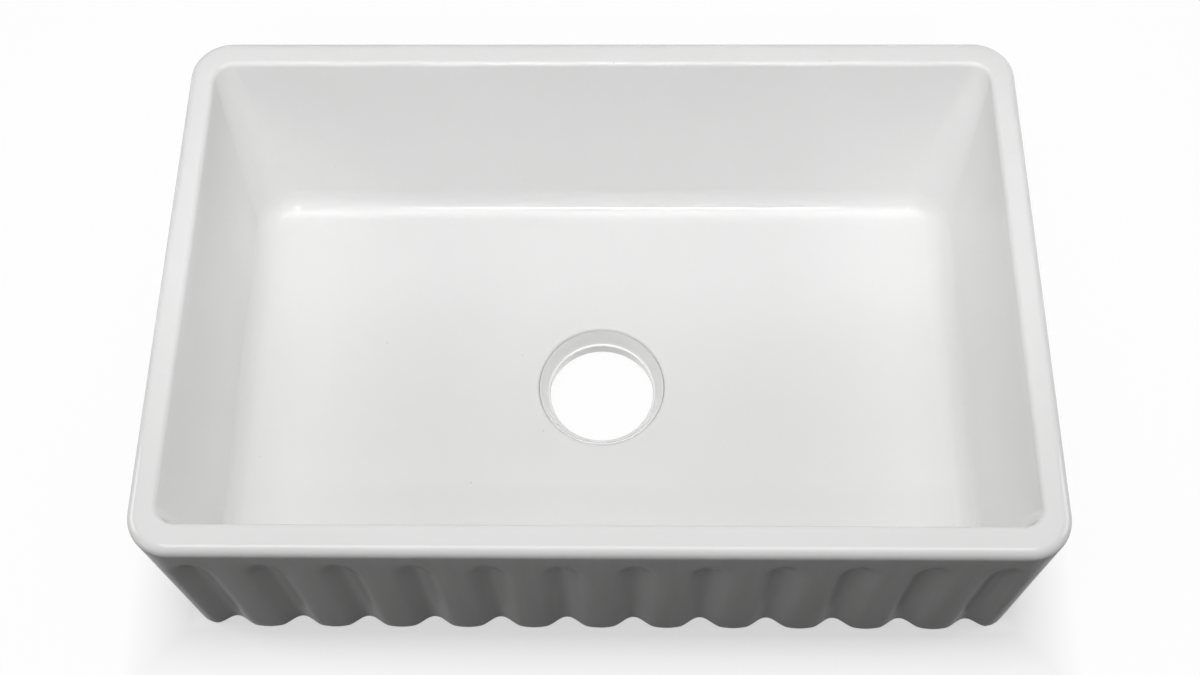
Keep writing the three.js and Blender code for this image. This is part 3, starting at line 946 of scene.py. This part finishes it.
# %% Glaze: the bare clay
CLAY_DARK, CLAY_PALE = rgb(0.60, 0.54, 0.45), rgb(0.72, 0.67, 0.58)
CLAY_SCALE, CLAY_DEPTH = 700.0, 0.00025
RAGGED, CLAY_EDGE = 0.8, (0.42, 0.58)

clay_grain, clay_height = grain(tree, CLAY_SCALE, CLAY_DEPTH)
clay_tone = blend_node(tree, ramp_node(tree, clay_grain, MOST_NOISE), CLAY_DARK, CLAY_PALE)
wander = math_node(tree, "MULTIPLY", math_node(tree, "SUBTRACT", cloud, 0.5), RAGGED)
bare = math_node(tree, "ADD", stored(tree, "bare_clay"), wander)
clay_mask = ramp_node(tree, bare, CLAY_EDGE)
colour = blend_node(tree, clay_mask, speckled, clay_tone)
print("clay grain, metres across and deep:", round(1 / CLAY_SCALE, 4), CLAY_DEPTH)

# %% [markdown]
# A mirror-smooth surface would show the lamps as sharp rectangles. Real glaze lies in slow ripples that
# make the highlights wander, with a fine orange peel over them. The apron is satin: it is rougher, and
# reflects far less than the bowl, so that it keeps its even shade.

# %% Glaze: the gloss and the ripples
GLOSS_MARKS, GLOSS = 11.0, (0.06, 0.11)
SATIN_ROUGHNESS, CLAY_ROUGHNESS = 0.14, 0.7
BOWL_TO_APRON_SPECULAR = (0.42, 0.004)
PEEL_SCALE, PEEL_DEPTH = 170.0, 0.00003
RIPPLES, RIPPLE_DEPTH = 9.0, 0.0007

gloss = ramp_node(tree, marks(tree, GLOSS_MARKS), ALL_NOISE, GLOSS)
satin = math_node(tree, "ADD", gloss, math_node(tree, "MULTIPLY", apron, SATIN_ROUGHNESS))
rough = math_node(tree, "ADD", satin, math_node(tree, "MULTIPLY", clay_mask, CLAY_ROUGHNESS))
specular = ramp_node(tree, apron, (0.0, 1.0), BOWL_TO_APRON_SPECULAR)
tree.links.new(specular, shader.inputs["Specular IOR Level"])

peel_height = grain(tree, PEEL_SCALE, PEEL_DEPTH)[1]
ripple_height = math_node(tree, "MULTIPLY", marks(tree, RIPPLES, 1.0), RIPPLE_DEPTH)
glaze_height = math_node(tree, "ADD", ripple_height, peel_height)
clay_part = math_node(tree, "MULTIPLY", clay_height, clay_mask)
sunk = math_node(tree, "MULTIPLY", pinhole, -PINHOLE_DEPTH)
height = math_node(tree, "ADD", glaze_height, math_node(tree, "ADD", clay_part, sunk))
finish_surface(glaze, shader, colour, rough, height)
casting.data.materials.append(glaze)

# %% [markdown]
# ## White coating
#
# The collar has a white coating over brass. Where the nut has rubbed the crests of the thread, the
# brass shows. Wear could follow the sharp edges that a Geometry node finds, but that would wear the
# flange too. The height of the thread is stored with each point, so only its crests wear. The gloss
# lies in a clear coat over the colour, as on a lacquered part.

# %% White coating
COATING_WHITE, COATING_SHADE, BRASS = rgb(0.94, 0.94, 0.935), rgb(0.91, 0.91, 0.90), rgb(0.74, 0.52, 0.22)
COATING_CLOUDS, COATING_SCALE, COATING_DEPTH = 40.0, 420.0, 0.000018
COATING_ROUGHNESS, RUB_GRAIN, RUB_EDGE = (0.14, 0.24), (0.35, 0.6), (0.55, 0.8)
LACQUER = {"Coat Weight": 1.0, "Coat IOR": 1.8, "Coat Roughness": 0.2}

white_finish, tree, shader = new_material("white_finish")
mask, height = grain(tree, COATING_SCALE, COATING_DEPTH)
rubbed = math_node(tree, "MULTIPLY", stored(tree, "thread_crest"), ramp_node(tree, mask, RUB_GRAIN))
worn = ramp_node(tree, rubbed, RUB_EDGE)
patches = ramp_node(tree, marks(tree, COATING_CLOUDS), ALL_NOISE)
coating = blend_node(tree, patches, COATING_WHITE, COATING_SHADE)
tree.links.new(worn, shader.inputs["Metallic"])
for socket, value in LACQUER.items():
    shader.inputs[socket].default_value = value
rough = ramp_node(tree, mask, ALL_NOISE, COATING_ROUGHNESS)
finish_surface(white_finish, shader, blend_node(tree, worn, coating, BRASS), rough, height)
collar.data.materials.append(white_finish)

# %% [markdown]
# ## Rubbers
#
# The seal is pale rubber and the gasket is black. Both are matt, and gather a pale dust in patches. Two
# materials built apart would drift away from each other, so one function makes both from their clean
# and dusty colours.

# %% Rubbers
RUBBER_SCALE, RUBBER_DEPTH, RUBBER_UNEVEN, DUST_PATCHES = 900.0, 0.00006, 0.08, 60.0
SEAL_CLEAN, SEAL_DUSTY, SEAL_ROUGHNESS = rgb(0.70, 0.70, 0.67), rgb(0.58, 0.57, 0.53), 0.55
GASKET_CLEAN, GASKET_DUSTY, GASKET_ROUGHNESS = rgb(0.018, 0.018, 0.018), rgb(0.10, 0.095, 0.09), 0.62


def rubber(name, clean, dusty, roughness):
    """A matt rubber: its grain makes it rough, and its colour goes from clean to dusty with the dust."""
    material, tree, shader = new_material(name)
    mask, height = grain(tree, RUBBER_SCALE, RUBBER_DEPTH)
    dust = place_group(tree, DUST, Scale=DUST_PATCHES, Grain=mask)["Mask"]
    colour = blend_node(tree, dust, clean, dusty)
    uneven = (roughness - RUBBER_UNEVEN, roughness + RUBBER_UNEVEN)
    finish_surface(material, shader, colour, ramp_node(tree, mask, ALL_NOISE, uneven), height)
    return material


seal.data.materials.append(rubber("seal_rubber", SEAL_CLEAN, SEAL_DUSTY, SEAL_ROUGHNESS))
gasket.data.materials.append(rubber("black_rubber", GASKET_CLEAN, GASKET_DUSTY, GASKET_ROUGHNESS))

# %% [markdown]
# ## Fibre
#
# The washer is pressed fibre: a red-brown board with long flecks across it, some paler and some
# darker. A speckle alone would look like stone. The same marks with a large scale along X and Z and a
# small one along Y draw the flecks out in one direction, as fibres lie in a rolled sheet.

# %% Fibre
FIBRE_DARK, FIBRE_RED, FIBRE_PALE = rgb(0.20, 0.055, 0.028), rgb(0.34, 0.12, 0.06), rgb(0.42, 0.24, 0.15)
FIBRE_SCALE, FIBRE_DEPTH, PALE_SHARE = 1300.0, 0.00012, 0.35
FLECKS, FLECK_DEPTH, FIBRE_ROUGHNESS = (900.0, 120.0, 900.0), 0.0001, (0.75, 0.92)

fibre, tree, shader = new_material("fibre")
mask, height = grain(tree, FIBRE_SCALE, FIBRE_DEPTH)
fleck = marks(tree, FLECKS, 4.0)
board = blend_node(tree, ramp_node(tree, fleck, MOST_NOISE), FIBRE_DARK, FIBRE_RED)
colour = blend_node(tree, math_node(tree, "MULTIPLY", mask, PALE_SHARE), board, FIBRE_PALE)
raised = math_node(tree, "ADD", height, math_node(tree, "MULTIPLY", fleck, FLECK_DEPTH))
finish_surface(fibre, shader, colour, ramp_node(tree, fleck, ALL_NOISE, FIBRE_ROUGHNESS), raised)
washer.data.materials.append(fibre)

# %% [markdown]
# ## Nut plastic
#
# The nut is moulded grey plastic. Where the melt flowed round the mould it left faint bands, paler and
# darker, and the mould's sparked surface left a fine grain. The bands are the marks again, close
# together in height and far apart across.

# %% Nut plastic
PLASTIC_GREY, PLASTIC_PALE = rgb(0.46, 0.47, 0.48), rgb(0.52, 0.53, 0.54)
PLASTIC_SCALE, PLASTIC_DEPTH = 650.0, 0.00002
FLOW_BANDS, PLASTIC_ROUGHNESS = (30.0, 30.0, 220.0), (0.34, 0.48)

plastic, tree, shader = new_material("nut_plastic")
mask, height = grain(tree, PLASTIC_SCALE, PLASTIC_DEPTH)
colour = blend_node(tree, ramp_node(tree, marks(tree, FLOW_BANDS), MOST_NOISE), PLASTIC_GREY, PLASTIC_PALE)
finish_surface(plastic, shader, colour, ramp_node(tree, mask, ALL_NOISE, PLASTIC_ROUGHNESS), height)
nut.data.materials.append(plastic)
